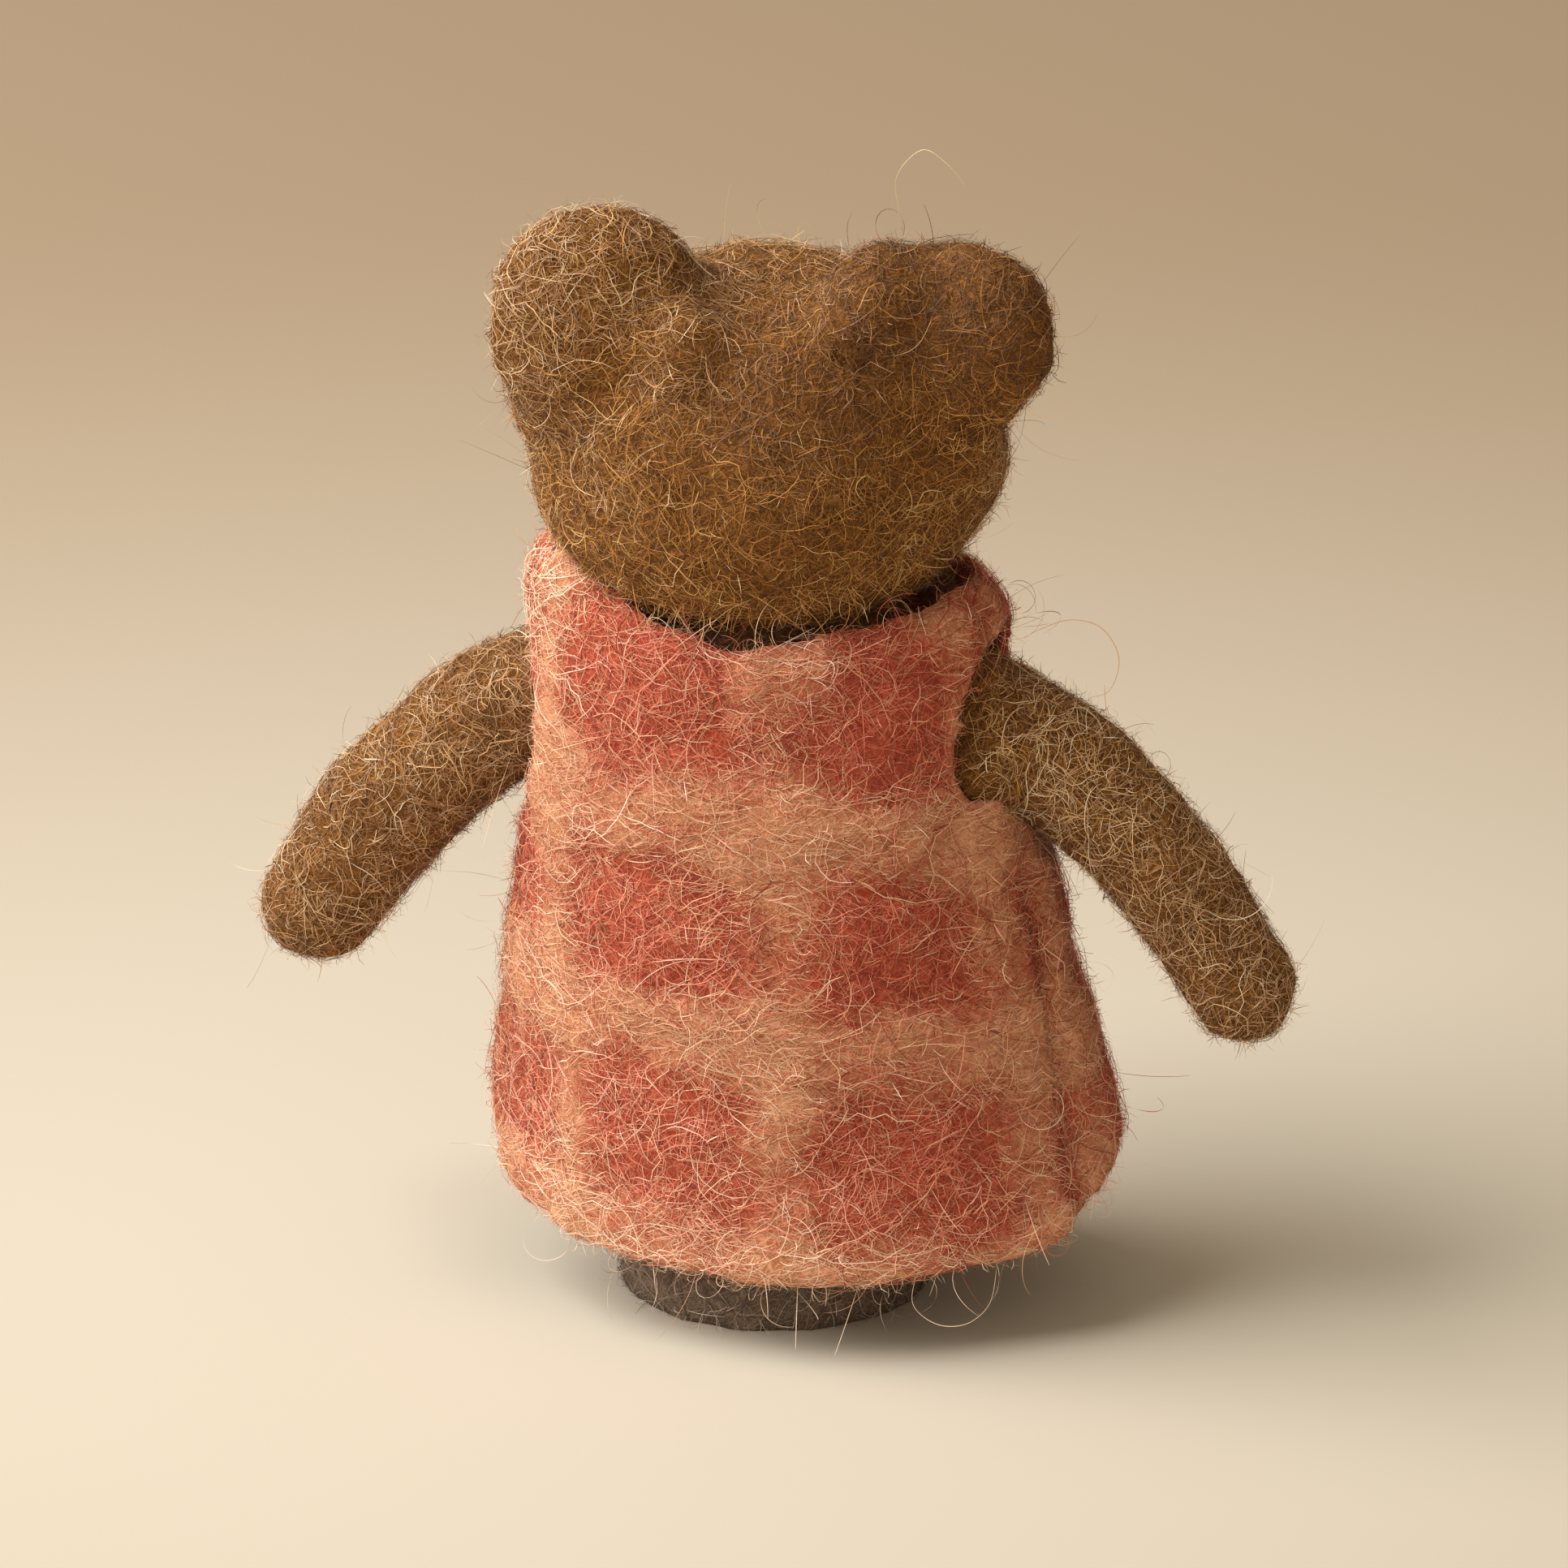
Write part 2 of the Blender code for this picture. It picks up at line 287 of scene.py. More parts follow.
def laid_wool(points):
    """How much peach wool was laid at each point of the dress: 0 none, 1 a layer, more where two cross."""
    wobble = WOBBLE * lumps(points, 5 * MM, 31)
    around, radius = round_the_dress(points)
    off_stripe = np.full(len(points), 1.0)
    for hem_angle, neck_angle in STRIPE_ANGLES:
        angle = np.radians(hem_angle + (neck_angle - hem_angle) * points[:, 2] / STRIPE_TOP)
        off = (around - angle + math.pi) % (2 * math.pi) - math.pi
        off_stripe = np.minimum(off_stripe, np.abs(off * radius * 0.9 + wobble))
    height = points[:, 2] - BAND_TILT * points[:, 0] - BAND_START
    off_band = (height + BAND_SPACING / 2) % BAND_SPACING - BAND_SPACING / 2
    off_band = np.where(points[:, 2] > LAST_BAND, BAND_SPACING, np.abs(off_band + wobble))
    stripe = feathered(off_stripe, STRIPE_HALF)
    band = np.maximum(feathered(off_band, BAND_HALF), feathered(points[:, 2] + wobble, HEM_BAND))
    thin = np.clip(0.92 + 0.35 * lumps(points, 6 * MM, 37), 0.6, 1.25)
    return (STRIPE_WOOL * stripe + BAND_WOOL * band) * thin + PALE_SIDE_WOOL * near(points, PALE_SIDE, 10)


# %% [markdown]
# The dress's solid is wrapped in a skin as the bear was. Small balls of wool darn it where the
# photograph shows more felt: at the lower ends of the armholes and at the left of the neckline. A
# furrow runs down each side, where the two faces of the felt meet. Laid wool and furrows move only
# the outer face, and the skin keeps the amount of laid wool as a number on each of its points.

# %% The dress's skin
SEAM_ANGLES = (161, 17)
SEAM_DEPTH = 1.1 * MM
SEAM_HALF = 1.3 * MM
SEAM_TOP = 36 * MM
SEAM_FADE = 3 * MM
LAID_PROUD = 0.5 * MM


def seam_furrow(points):
    """How deep the furrows down the sides are at each point."""
    around, radius = round_the_dress(points)
    fade = 1 / (1 + np.exp((points[:, 2] - SEAM_TOP) / SEAM_FADE))
    depth = np.zeros(len(points))
    for angle in SEAM_ANGLES:
        off = (around - math.radians(angle) + math.pi) % (2 * math.pi) - math.pi
        depth += SEAM_DEPTH * fade * np.exp(-((off * radius / SEAM_HALF) ** 2))
    return depth


NECK_WISPS = [((15.4, 5.4, 60.6), 2.5), ((13.4, 7.4, 59.9), 2.4), ((11.2, 9.0, 59.0), 2.0)]
LEFT_DARN = [((19.4, y, 38.6), 1.6) for y in (-4.6, -2.6, -0.6, 1.4, 3.4)]
RIGHT_DARN = [
    ((-18.4, 6.4, 43.2), 1.8), ((-18.6, 6.6, 40.6), 1.9), ((-19.2, 4.6, 41.2), 1.8),
    ((-19.4, 4.4, 39.0), 1.8), ((-19.6, 2.4, 39.4), 1.7), ((-19.8, 0.2, 38.4), 1.6),
    ((-19.8, -2.0, 38.2), 1.6),
]
dress = wrapped("felt_dress", ["dress"], 0.85 * MM, 4, 0.0, NECK_WISPS + LEFT_DARN + RIGHT_DARN)
places = points_of(dress)
cloth = laid_wool(places)
outward = places - np.array(AXIS)
outward[:, 2] = 0.0
outer = (outward * normals_of(dress)).sum(axis=1) > 0
proud = LAID_PROUD * np.minimum(cloth, 1.4) * outer - FUZZ * outer
proud += 0.25 * MM * lumps(places, 7 * MM, 41) + 0.12 * MM * lumps(places, 2.4 * MM, 43)
proud -= seam_furrow(places) * outer
move_points(dress, places + normals_of(dress) * proud[:, None])
attribute = dress.data.attributes.new("laid", "FLOAT", "POINT")
attribute.data.foreach_set("value", cloth.astype(np.float32))
print(dress.name, "has", len(dress.data.polygons), "faces")

# %% [markdown]
# Wool felt up close is a dark mat with lighter fibres curling across it. The mat under the grown
# fibres is painted like the contour lines of a map: where a noise field passes one of its levels it
# draws a thin closed curve, and three fields laid over each other look like tangled hair. Real wool
# fibres are about 0.03 mm thick, too fine for the picture, so the lines are drawn some 0.1 mm wide.
# Felt takes in light and gives it back evenly: it is very rough, hardly glossy, and the fibre ends
# give it a faint sheen at its edges. A fibre's curls are about 1.7 mm across, and the tufts of a
# carded batch, which take the dye differently, about 4 mm.

# %% The felt mat's material
CURL_SIZE = 1.7 * MM
CURL_LINES = 8
CLUMP = 4.0 * MM
BUMP_DEEP = 0.12 * MM


def strands(tree, place, size, width, seed):
    """A mask of thin curled lines, 1 on a line and 0 between lines."""
    shift = (seed * 0.37, seed * 0.11, seed * 0.23)
    moved = add(tree, "ShaderNodeVectorMath", {0: place, 1: shift}, operation="ADD")
    field = add(
        tree,
        "ShaderNodeTexNoise",
        {"Vector": moved.outputs[0], "Scale": 1 / size, "Detail": 1.5, "Distortion": 0.9},
    ).outputs["Fac"]
    contours = add(tree, "ShaderNodeMath", {0: field, 1: CURL_LINES}, operation="MULTIPLY")
    off = add(tree, "ShaderNodeMath", {0: contours.outputs[0], 1: 0.5}, operation="PINGPONG")
    return add(
        tree,
        "ShaderNodeMapRange",
        {"Value": off.outputs[0], "From Min": 0.0, "From Max": width, "To Min": 1.0, "To Max": 0.0},
        interpolation_type="SMOOTHSTEP",
    ).outputs["Result"]


def felt_surface(tree, ground, strand_colour, sheen):
    """Finishes a felt material from its ground colour and the colour of the strands on it."""
    place = add(tree, "ShaderNodeTexCoord").outputs["Object"]
    one = strands(tree, place, CURL_SIZE, 0.26, 1)
    two = strands(tree, place, CURL_SIZE * 0.8, 0.24, 2)
    three = strands(tree, place, CURL_SIZE * 1.3, 0.2, 3)
    lower = add(tree, "ShaderNodeMath", {0: one, 1: 0.6}, operation="MULTIPLY").outputs[0]
    both = add(tree, "ShaderNodeMath", {0: lower, 1: two}, operation="MAXIMUM").outputs[0]
    both = add(tree, "ShaderNodeMath", {0: both, 1: three}, operation="MAXIMUM").outputs[0]
    soft = add(tree, "ShaderNodeMath", {0: both, 1: 0.6}, operation="MULTIPLY").outputs[0]
    colour = add(tree, "ShaderNodeMix", {"Factor": soft, "A": ground, "B": strand_colour}, data_type="RGBA")
    bump = add(tree, "ShaderNodeBump", {"Height": both, "Strength": 0.7, "Distance": BUMP_DEEP})
    feeds = {
        "Base Color": colour.outputs["Result"],
        "Normal": bump.outputs["Normal"],
        "Roughness": 0.92,
        "Specular IOR Level": 0.2,
        "Sheen Weight": 0.15,
        "Sheen Roughness": 0.5,
        "Sheen Tint": linear(sheen),
    }
    skin = add(tree, "ShaderNodeBsdfPrincipled", feeds)
    add(tree, "ShaderNodeOutputMaterial", {"Surface": skin.outputs[0]})


def clumped(tree, dark, light, seed):
    """A ground colour that drifts between two tones from clump to clump."""
    place = add(tree, "ShaderNodeTexCoord").outputs["Object"]
    shift = add(tree, "ShaderNodeVectorMath", {0: place, 1: (seed, 0.0, 0.0)}, operation="ADD")
    drift = add(
        tree, "ShaderNodeTexNoise", {"Vector": shift.outputs[0], "Scale": 1 / CLUMP, "Detail": 5.0}
    )
    spread = add(
        tree, "ShaderNodeMapRange", {"Value": drift.outputs["Fac"], "From Min": 0.3, "From Max": 0.7}
    )
    return add(
        tree,
        "ShaderNodeMix",
        {"Factor": spread.outputs["Result"], "A": linear(dark), "B": linear(light)},
        data_type="RGBA",
    ).outputs["Result"]


def wool_mat(name, dark, light, strand, seed):
    """Needle-felted wool of one colour."""
    material, tree = blank_material(name)
    felt_surface(tree, clumped(tree, dark, light, seed), linear(strand), strand)
    return material


brown_mat = wool_mat("needle-felted brown wool", "#482a0e", "#6c421a", "#a6743a", 1.0)
muzzle_mat = wool_mat("needle-felted fawn wool", "#80603e", "#a07c54", "#c8a678", 2.0)
# The foot's felt is grey-brown as painted shadow, in the colour of the shade under the hem.
foot_shadow_mat = wool_mat("needle-felted shadow-grey wool", "#59483c", "#786454", "#9c8875", 3.5)
# Dark brown on the tube from the middle up is painted shade for the gap between neckline and head.
neck_shade_mat = wool_mat("dark brown wool with painted neck shade", "#43291a", "#5f402b", "#8a6245", 3.5)
dark_mat = wool_mat("needle-felted black-brown wool", "#17100c", "#251a14", "#4a372a", 3.0)

# %% [markdown]
# The dress's felt has two colours of wool. The amount of laid wool is kept on the skin's points as a
# number called laid, and the material turns it into a share of peach. Fine noise is added before
# that, so the edge between the two colours is frayed into fibres and doesn't run as a clean line.

# %% The dress's material
plaid_mat, tree = blank_material("wet-felted plaid wool")
layer = add(tree, "ShaderNodeAttribute", attribute_name="laid").outputs["Fac"]
place = add(tree, "ShaderNodeTexCoord").outputs["Object"]
fray = add(tree, "ShaderNodeTexNoise", {"Vector": place, "Scale": 1 / (0.9 * MM), "Detail": 4.0})
frayed = add(
    tree, "ShaderNodeMath", {0: fray.outputs["Fac"], 1: 0.9, 2: layer}, operation="MULTIPLY_ADD"
)
peach_share = add(
    tree,
    "ShaderNodeMapRange",
    {"Value": frayed.outputs[0], "From Min": 0.6, "From Max": 1.45},
    interpolation_type="SMOOTHSTEP",
).outputs["Result"]
coral = clumped(tree, "#8a3020", "#b04b34", 4.0)
peach = clumped(tree, "#b66d49", "#d4946d", 5.0)
ground = add(
    tree, "ShaderNodeMix", {"Factor": peach_share, "A": coral, "B": peach}, data_type="RGBA"
).outputs["Result"]
strand = add(
    tree,
    "ShaderNodeMix",
    {"Factor": peach_share, "A": linear("#d4745a"), "B": linear("#edbd98")},
    data_type="RGBA",
).outputs["Result"]
felt_surface(tree, ground, strand, "#f2c9ac")
print("felts:", [m.name for m in (brown_mat, muzzle_mat, foot_shadow_mat, neck_shade_mat, dark_mat, plaid_mat)])

# %% [markdown]
# Now the fibres. Particle hair would be the quick way in Blender, but hair stands up like fur, and
# it is not part of a model that other programs can open. Felt fibres lie down: each one starts
# somewhere in the mat, wanders across the surface and dives back in. So each fibre here walks over
# the skin a step at a time, turning as it goes, is lifted a little between its ends, and becomes a
# narrow ribbon with a twist of its own. All fibres of a group take each step together in arrays.


# %% Walk fibres over a skin
CRIMP = (1.6 * MM, 4.5 * MM)
FREE_ENDS = 0.4
ROOTED = 0.1 * MM
TABLE_GAP = 0.05 * MM


class Ground:
    """A skin that fibres can be laid on."""

    def __init__(self, piece, keep=None):
        mesh = piece.data
        mesh.calc_loop_triangles()
        corners = np.empty(len(mesh.loop_triangles) * 3, np.int32)
        mesh.loop_triangles.foreach_get("vertices", corners)
        self.points = points_of(piece)
        self.triangles = corners.reshape(-1, 3)
        self.tree = BVHTree.FromPolygons(
            [Vector(p) for p in self.points], self.triangles.tolist(), epsilon=0.0
        )
        a, b, c = (self.points[self.triangles[:, i]] for i in range(3))
        cross = np.cross(b - a, c - a)
        self.area = np.linalg.norm(cross, axis=1) / 2
        self.facing = cross / np.maximum(np.linalg.norm(cross, axis=1), 1e-12)[:, None]
        centres = (a + b + c) / 3
        self.weight = self.area * (1.0 if keep is None else keep(centres, self.facing))

    def scatter(self, count, rng):
        """Random places on the skin, as many for each square millimetre wherever it is kept."""
        share = self.weight / self.weight.sum()
        picked = self.triangles[rng.choice(len(share), count, p=share)]
        u, v = rng.random(count), rng.random(count)
        u, v = np.where(u + v > 1, 1 - u, u), np.where(u + v > 1, 1 - v, v)
        a, b, c = (self.points[picked[:, i]] for i in range(3))
        return a + (b - a) * u[:, None] + (c - a) * v[:, None]

    def nearest(self, places):
        """The skin's point and normal next to each place."""
        found = [self.tree.find_nearest(p) for p in places.tolist()]
        return np.array([f[0] for f in found]), np.array([f[1] for f in found])


def unit(rows):
    """Each row scaled to length 1."""
    return rows / np.maximum(np.linalg.norm(rows, axis=1), 1e-12)[:, None]


def turned(rows, axes, angles):
    """Each row turned about its own axis, which is at right angles to it."""
    return rows * np.cos(angles)[:, None] + np.cross(axes, rows) * np.sin(angles)[:, None]


def walk(ground, count, length, steps, curl, rng, flow=None):
    """Paths over a skin and the skin's normals there. Curl is in radians for each metre walked."""
    spot, normal = ground.nearest(ground.scatter(count, rng))
    heading = rng.normal(size=(count, 3))
    heading = unit(heading - (heading * normal).sum(axis=1)[:, None] * normal)
    if flow is not None:
        heading = unit(heading + flow(spot, rng))
        heading = unit(heading - (heading * normal).sum(axis=1)[:, None] * normal)
    reach = length * np.exp(rng.normal(0, 0.35, count)) / steps
    bend = rng.normal(0, 0.35 * curl, count)
    crimp = np.clip(rng.normal(0, curl, count), -1.3 * curl, 1.3 * curl)
    wave = 2 * math.pi * reach / rng.uniform(*CRIMP, count)
    phase = rng.uniform(0, 2 * math.pi, count)
    spots, normals = [spot], [normal]
    for step in range(steps):
        after, normal = ground.nearest(spot + heading * reach[:, None])
        heading = unit(after - spot + heading * 1e-9)
        heading = unit(heading - (heading * normal).sum(axis=1)[:, None] * normal)
        heading = turned(heading, normal, (bend + crimp * np.cos(phase + step * wave)) * reach)
        spot = after
        spots.append(spot)
        normals.append(normal)
    return np.stack(spots, axis=1), np.stack(normals, axis=1)


def ribbons(name, paths, normals, width, tones, tone_of, rng, twist=0.7):
    """One mesh of narrow ribbons along the paths, each in the tone it was given."""
    count, length = paths.shape[:2]
    along = np.gradient(paths, axis=1)
    along /= np.maximum(np.linalg.norm(along, axis=2), 1e-12)[:, :, None]
    side = np.cross(along, normals)
    side /= np.maximum(np.linalg.norm(side, axis=2), 1e-12)[:, :, None]
    lean = rng.uniform(-twist, twist, (count, 1, 1)) + rng.uniform(-0.5, 0.5, (count, 1, 1)) * (
        np.linspace(-1, 1, length)[None, :, None]
    )
    side = side * np.cos(lean) + np.cross(along, side) * np.sin(lean)
    taper = 0.35 + 0.65 * np.sin(np.pi * np.linspace(0, 1, length)) ** 0.5
    widths = width * np.exp(rng.normal(0, 0.25, count))[:, None, None] * taper[None, :, None]
    both = np.stack([paths - side * widths / 2, paths + side * widths / 2], axis=2)
    both[..., 2] = np.maximum(both[..., 2], TABLE_GAP)
    first = np.arange(count * length).reshape(count, length)[:, :-1].reshape(-1) * 2
    quads = np.stack([first, first + 1, first + 3, first + 2], axis=1).astype(np.int32)
    mesh = bpy.data.meshes.new(name)
    mesh.vertices.add(count * length * 2)
    mesh.vertices.foreach_set("co", both.reshape(-1))
    mesh.loops.add(quads.size)
    mesh.loops.foreach_set("vertex_index", quads.reshape(-1))
    mesh.polygons.add(len(quads))
    mesh.polygons.foreach_set("loop_start", np.arange(0, quads.size, 4, dtype=np.int32))
    mesh.polygons.foreach_set("loop_total", np.full(len(quads), 4, np.int32))
    for tone in tones:
        mesh.materials.append(tone)
    mesh.polygons.foreach_set("material_index", np.repeat(tone_of, length - 1).astype(np.int32))
    mesh.update(calc_edges=True)
    mesh.shade_smooth()
    print(name, "has", count, "fibres and", len(quads) * 2, "triangles")
    return own_mesh(name, mesh)


def lifted(paths, normals, low, high, rng):
    """Raises fibres between their ends. Some have one end free, which stands off the mat."""
    count, length = paths.shape[:2]
    t = np.linspace(0, 1, length)[None, :]
    rise = low + (high - low) * rng.random((count, 1)) ** 2
    arch = rise * np.sin(np.pi * t) ** 0.7
    free = rng.random((count, 1)) < FREE_ENDS
    arch = np.where(free, rise * 1.8 * t**1.5, arch) + low * 0.3
    return paths + normals * (arch - ROOTED)[:, :, None]


# %% [markdown]
# A wool fibre is a scaly, slightly see-through hair. In a crowd it gives back a soft light of its own
# colour, and single fibres catch the light as pale threads. Each tone is a plain colour with a high
# roughness and a little sheen; a batch of wool is a mixture of such tones, dark ones most often.


# %% Fibre tones
def fibre_tone(name, code):
    """One tone of dyed or natural wool fibre."""
    material, tree = blank_material(name)
    feeds = {
        "Base Color": linear(code),
        "Roughness": 0.6,
        "Specular IOR Level": 0.35,
        "Sheen Weight": 0.16,
        "Sheen Roughness": 0.4,
    }
    wool = add(tree, "ShaderNodeBsdfPrincipled", feeds)
    add(tree, "ShaderNodeOutputMaterial", {"Surface": wool.outputs[0]})
    return material


WARM_TONES = ("#5e3710", "#87531d", "#ab7431", "#cc9a54", "#e6c284", "#f3dcae")
COOL_TONES = ("#573a22", "#7f5836", "#a47b54", "#c8a177", "#e3c49c", "#f0debf")
FAWN_TONES = ("#7d5c3a", "#a27f55", "#b8946a", "#cdae86", "#e4d0ac")
SHADOW_GREY_TONES = ("#5a4a40", "#7a695d", "#9a897b", "#bfb1a3")
# Grey-brown tones for the tube's foot: a painted shadow colour.
DARK_TONES = ("#120c09", "#1e1510", "#33251b", "#55412f")
CORAL_TONES = ("#8b2e1d", "#b04b33", "#d06f55", "#e39479", "#f0bba3")
PEACH_TONES = ("#b0714a", "#cd916b", "#e2ad89", "#ecc3a2", "#f7dcc3")


def tone_set(name, codes):
    """The materials of a batch of wool, from dark to light."""
    return [fibre_tone(f"{name} fibre {i + 1}", code) for i, code in enumerate(codes)]


def levels(count, middle, spread, tones):
    """Which tone each fibre of a batch gets, round a middle level of the batch."""
    return np.clip(np.rint(rng.normal(middle, spread, count)), 0, len(tones) - 1).astype(int)


rng = np.random.default_rng(7)
warm_wool = tone_set("warm brown wool", WARM_TONES)
cool_wool = tone_set("cool brown wool", COOL_TONES)
fawn_wool = tone_set("fawn wool", FAWN_TONES)
dark_wool = tone_set("black-brown wool", DARK_TONES)
# The tube foot's grey tones, painted shadow.
shadow_grey_wool = tone_set("shadow-grey wool", SHADOW_GREY_TONES)
coral_wool = tone_set("coral wool", CORAL_TONES)
peach_wool = tone_set("peach wool", PEACH_TONES)

# %% [markdown]
# The bear gets two layers: short fibres pressed into the mat, which break up its surface, and
# longer pale ones that curl over them. Fibres are counted for each square millimetre, so the head,
# the arms and the ears look like the same wool.

# %% Fibres on the bear
# A real fibre is about 0.03 mm thick. The ribbons are drawn twice as wide and fewer, because finer
# ones would vanish in the picture and be too many for a model that others can open.
NAP_PER_MM2 = 3.7
NAP_FIBRE = 1.8 * MM
NAP_WIDE = 0.062 * MM
NAP_CURL = 900
NAP_LIFT = (0.05 * MM, 0.5 * MM)
CURLS_PER_MM2 = 1.7
CURL_FIBRE = 4.8 * MM
CURL_WIDE = 0.052 * MM
CURL_LIFT = (0.12 * MM, 0.7 * MM)
LIGHTER_CURLS = 0.45
fibres = []


def coat(piece, name, per_mm2, length, steps, width, curl, lift, tones_at, keep=None, flow=None, lighter=0.0):
    """Lays one layer of fibres on a piece."""
    ground = Ground(piece, keep)
    count = int(per_mm2 * ground.weight.sum() / MM**2)
    paths, normals = walk(ground, count, length, steps, curl, rng, flow)
    paths = lifted(paths, normals, lift[0], lift[1], rng)
    wool, tones = tones_at(paths[:, 0], lighter)
    fibres.append(ribbons(name, paths, normals, width, wool, tones, rng))


SHADED_EAR = (-16.0, 8.8, 86.2)
GREY_NAPE = (-3.0, 15.0, 76.0)
LIT_EAR = (18.0, 6.0, 87.0)
GOLDEN_CHIN = (2.0, 14.0, 60.0)
RIGHT_SLEEVE = (-25.0, 5.0, 46.0)
# Each row is a place, how far round it the wool is changed in millimetres, and by how much.
MORE_GOLDEN = (
    (GREY_NAPE, 9, -1.0),
    (LIT_EAR, 11, -1.5),
    (GOLDEN_CHIN, 14, 2.0),
    (RIGHT_CHEEK, 12, 1.8),
    (RIGHT_LOBE, 8, 1.2),
)
# Most of these rows are painted light and shade: the right ear is darkened where the skull shades it, the
# left ear is lightened and made less golden where the light falls on it, and the right cheek and the right
# arm are lightened to open the shade on that side. The nape is made darker.
LIT_AND_SHADED_TONES = (
    (SHADED_EAR, 8, -2.3),
    (GREY_NAPE, 10, -1.0),
    (LIT_EAR, 10, 1.5),
    (RIGHT_CHEEK, 9, 0.7),
    (RIGHT_SLEEVE, 11, 0.9),
)
ARM_FROM = 18 * MM
ARM_TOP = 58 * MM


def added_up(spots, rows):
    """What the rows of a table add up to at each spot."""
    return sum(change * near(spots, place, reach) for place, reach, change in rows)


def brown_at(spots, lighter=0.0):
    """A tone of brown for each fibre. Warm and cool locks of wool lie side by side."""
    on_an_arm = (np.abs(spots[:, 0]) > ARM_FROM) & (spots[:, 2] < ARM_TOP)
    golden = 0.8 * lumps(spots, 7 * MM, 53) - 0.9 * on_an_arm + added_up(spots, MORE_GOLDEN)
    cool = golden + rng.normal(0, 0.5, len(spots)) < 0.0
    # The middle level carries the painted light and shade of the table of lit and shaded tones.
    middle = 1.55 + lighter + 0.3 * on_an_arm + added_up(spots, LIT_AND_SHADED_TONES)
    middle = middle + 0.35 * lumps(spots, 4 * MM, 59)
    level = levels(len(spots), middle, 1.0, warm_wool)
    return warm_wool + cool_wool, level + cool * len(warm_wool)


def fawn_at(spots, lighter=0.0):
    """A tone of fawn for each fibre."""
    return fawn_wool, levels(len(spots), 1.6 + lighter, 1.0, fawn_wool)


def dark_at(spots, lighter=0.0):
    """A tone of black-brown for each fibre."""
    return dark_wool, levels(len(spots), 0.9 + lighter, 0.8, dark_wool)


DRESS_INSIDE = 17.5 * MM
NECK_TOP = 62 * MM
HIDDEN_SHARE = 0.15


def in_sight(centres, facing):
    """Keeps few of the fibres inside the dress, where nobody sees them."""
    inside = (np.abs(centres[:, 0]) < DRESS_INSIDE) & (centres[:, 2] < NECK_TOP)
    return np.where(inside, HIDDEN_SHARE, 1.0)


def half_of(side, keep=None):
    """Keeps the front or the back of a piece, so that no mesh of fibres grows too heavy."""

    def kept(centres, facing):
        there = side * (centres[:, 1] - AXIS.y) > 0
        return there * (1.0 if keep is None else keep(centres, facing))

    return kept


ARMS_AND_MUZZLE = (
    (left_arm, "left_arm", brown_at, in_sight),
    (right_arm, "right_arm", brown_at, in_sight),
    (muzzle, "muzzle", fawn_at, None),
)
for piece, name, tones_at, keep in (
    (head, "head_back", brown_at, half_of(1)),
    (head, "head_front", brown_at, half_of(-1)),
    *ARMS_AND_MUZZLE,
):
    coat(piece, f"{name}_nap", NAP_PER_MM2, NAP_FIBRE, 3, NAP_WIDE, NAP_CURL, NAP_LIFT, tones_at, keep)
    coat(
        piece, f"{name}_curls", CURLS_PER_MM2, CURL_FIBRE, 8, CURL_WIDE, 850, CURL_LIFT, tones_at, keep,
        lighter=LIGHTER_CURLS,
    )
for piece, name in ((nose, "nose"), (left_eye, "left_eye"), (right_eye, "right_eye")):
    coat(piece, f"{name}_mat", 9.0, 1.2 * MM, 4, 0.05 * MM, 1500, (0.02 * MM, 0.1 * MM), dark_at)

# %% [markdown]
# On the dress the fibres tell how it was made. The peach wool was laid in wisps across the coral,
# so its fibres run round the dress, and the coral below lies more any way. Their tones also carry
# painted light and shade: they are made lighter over the lower skirt, most at the hem, and on the
# left shoulder, where light falls, and darker at the right shoulder and deeper to the right edge,
# which lie in shade.

# %% Fibres on the dress
def on_the_outside(centres, facing):
    """Keeps the dress's outer face and rims, and leaves out what lies against the body."""
    out = centres - np.array(AXIS)
    out[:, 2] = 0.0
    return np.where((unit(out) * facing).sum(axis=1) > -0.3, 1.0, 0.0)


def laid_across(spots, rng):
    """Wool laid in a band keeps to its direction, and the ground wool lies any way."""
    across = np.stack([-(spots[:, 1] - AXIS.y), spots[:, 0], np.zeros(len(spots))], axis=1)
    pull = 0.8 + 1.6 * np.clip(laid_wool(spots), 0, 1)
    return unit(across) * (np.where(rng.random(len(spots)) < 0.5, 1, -1) * pull)[:, None]


# Painted light and shade on the dress's fibres: lit at the left shoulder, the lower skirt and the hem, shaded
# at the right shoulder under the head and towards the right edge.
LIT_SHOULDER = (17.0, 4.0, 60.0)
SHADED_SHOULDER = (-16.5, 6.0, 60.5)
PAINTED_SHOULDER_SHADE = 1.3
LIT_SKIRT = 28 * MM
PAINTED_HEM_LIGHT = 1.2
PAINTED_SKIRT_LIGHT = 1.2
PAINTED_RIGHT_SHADE = 0.8
RIGHT_EDGE = 18 * MM
DRESS_CURL = 600


